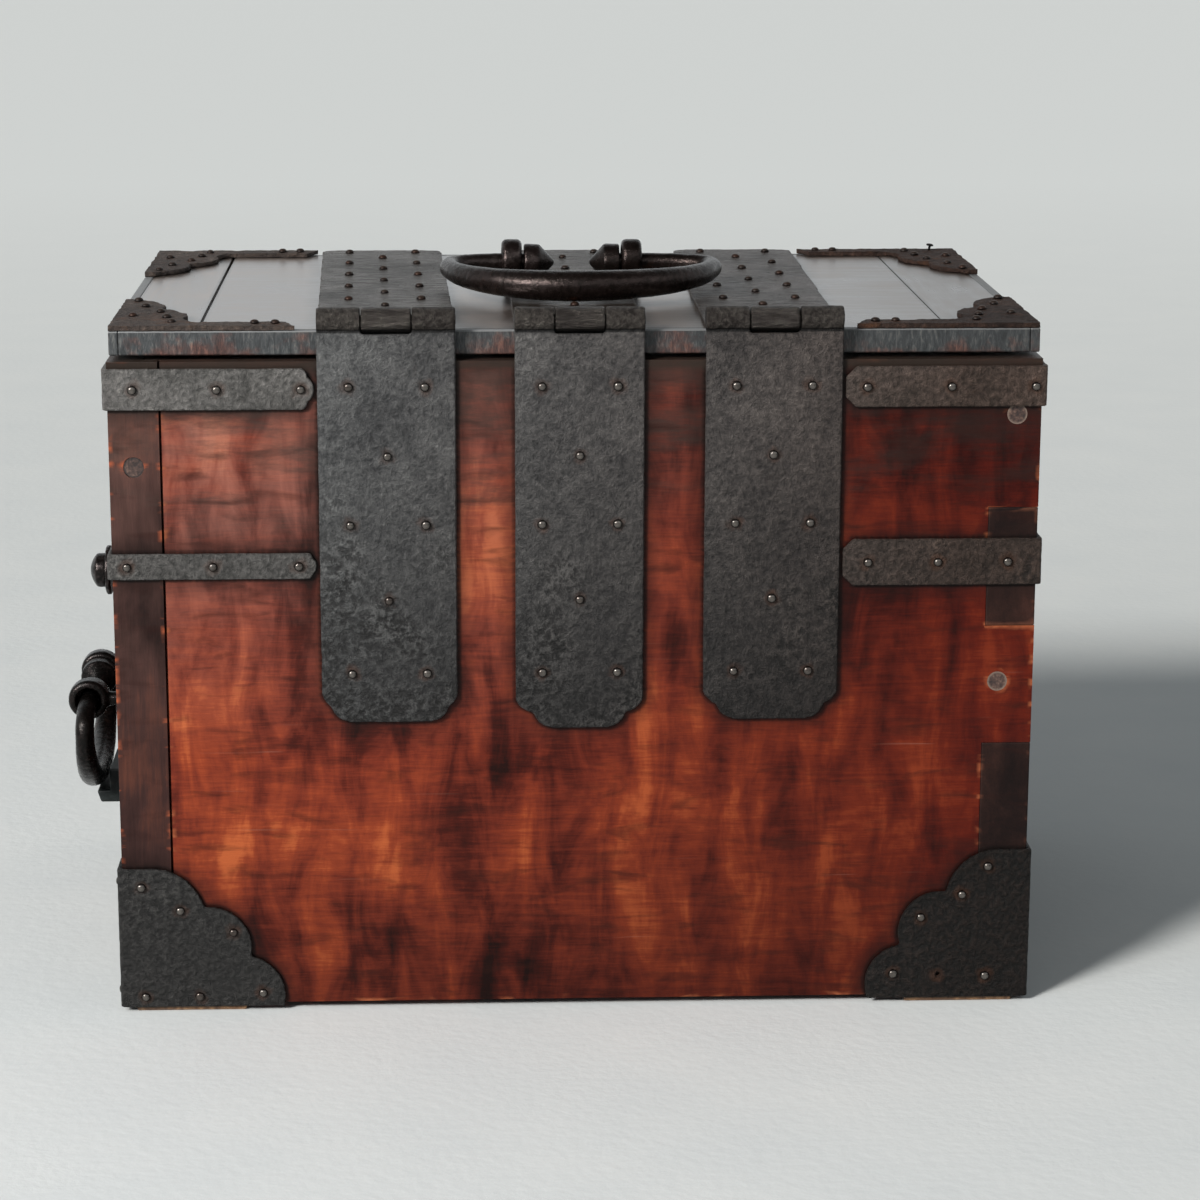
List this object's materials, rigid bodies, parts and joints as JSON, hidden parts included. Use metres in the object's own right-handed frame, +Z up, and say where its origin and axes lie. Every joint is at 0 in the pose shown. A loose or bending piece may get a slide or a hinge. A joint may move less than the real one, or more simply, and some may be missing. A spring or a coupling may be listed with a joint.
{
  "type": "lidded chest",
  "caption": "Small iron-bound wooden chest with a strap-hinged lid, a drop handle on the lid and another on an end, corner straps, scalloped corner plates and a hidden chest lock.",
  "frame": {"origin": "floor plane under the middle of the chest's body, on the middle batten's underside", "axes": "+Z up, +X to the right along the chest's length as seen from the hinge side, -Y towards a viewer who faces the hinge side"},
  "size_m": [0.5239, 0.3219, 0.3919],
  "materials": {
    "lacquered_wood": "worn reddish-brown lacquer over strong grain",
    "lid_wood": "dark lacquer with a sheen",
    "plain_wood": "oiled wood",
    "dark_iron": "dark pitted iron with rust",
    "handle_iron": "dark forged iron, smooth where handled",
    "nail_iron": "domed iron nail heads, slightly polished"
  },
  "bodies": {
    "chest": {"hinge_board": "lacquered_wood", "lock_board": "lacquered_wood", "left_board": "lacquered_wood", "right_board": "lacquered_wood", "bottom_board": "plain_wood", "skids": "plain_wood", "joint_plugs": "plain_wood", "left_body_leaf": "dark_iron", "middle_body_leaf": "dark_iron", "right_body_leaf": "dark_iron", "hinge_pins": "dark_iron", "body_leaf_nails": "nail_iron", "upper_left_strap_hinge_side": "dark_iron", "upper_left_strap_lock_side": "dark_iron", "upper_right_strap_hinge_side": "dark_iron", "upper_right_strap_lock_side": "dark_iron", "middle_left_strap_hinge_side": "dark_iron", "middle_left_strap_lock_side": "dark_iron", "middle_right_strap_hinge_side": "dark_iron", "middle_right_strap_lock_side": "dark_iron", "foot_plate_hinge_left": "dark_iron", "foot_plate_hinge_right": "dark_iron", "foot_plate_lock_left": "dark_iron", "foot_plate_lock_right": "dark_iron", "strap_nails": "nail_iron", "foot_plate_nails": "nail_iron", "side_eye_hinge_side": "handle_iron", "side_eye_lock_side": "handle_iron", "side_eye_washers": "handle_iron", "handle_rest": "plain_wood", "boss_disc": "dark_iron", "boss_stud": "dark_iron", "lock_case": "dark_iron", "key_plate": "dark_iron", "key_plate_nails": "nail_iron"},
    "lid": {"lid_panel": "lid_wood", "left_cleat": "lid_wood", "right_cleat": "lid_wood", "left_lid_strip": "lid_wood", "right_lid_strip": "lid_wood", "hinge_side_lid_strip": "lid_wood", "lock_side_lid_strip": "lid_wood", "left_lid_leaf": "dark_iron", "middle_lid_leaf": "dark_iron", "right_lid_leaf": "dark_iron", "lid_leaf_nails": "nail_iron", "lid_plate_hinge_left": "dark_iron", "lid_plate_hinge_right": "dark_iron", "lid_plate_lock_left": "dark_iron", "lid_plate_lock_right": "dark_iron", "lid_plate_nails": "nail_iron", "left_top_eye": "handle_iron", "right_top_eye": "handle_iron", "top_eye_washers": "handle_iron", "lid_catch": "dark_iron"},
    "top_handle": {"top_bail": "handle_iron", "top_bail_finials": "handle_iron"},
    "side_handle": {"side_bail": "handle_iron", "side_bail_finials": "handle_iron"},
    "bolt": {"lock_bolt": "dark_iron"}
  },
  "joints": [
    {"name": "lid_hinge", "type": "hinge", "parent": "chest", "child": "lid", "pos_m": [0, -0.155, 0.3702], "axis": [1, 0, 0], "range_deg": [0, 225]},
    {"name": "lid_handle", "type": "hinge", "parent": "lid", "child": "top_handle", "pos_m": [0.0025, 0.002, 0.37895], "axis": [-1, 0, 0], "range_deg": [0, 182]},
    {"name": "end_handle", "type": "hinge", "parent": "chest", "child": "side_handle", "pos_m": [-0.2682, 0, 0.13805], "axis": [0, 1, 0], "range_deg": [0, 200]},
    {"name": "bolt_slide", "type": "slide", "parent": "chest", "child": "bolt", "axis": [1, 0, 0], "range_m": [0, 0.012]}
  ]
}
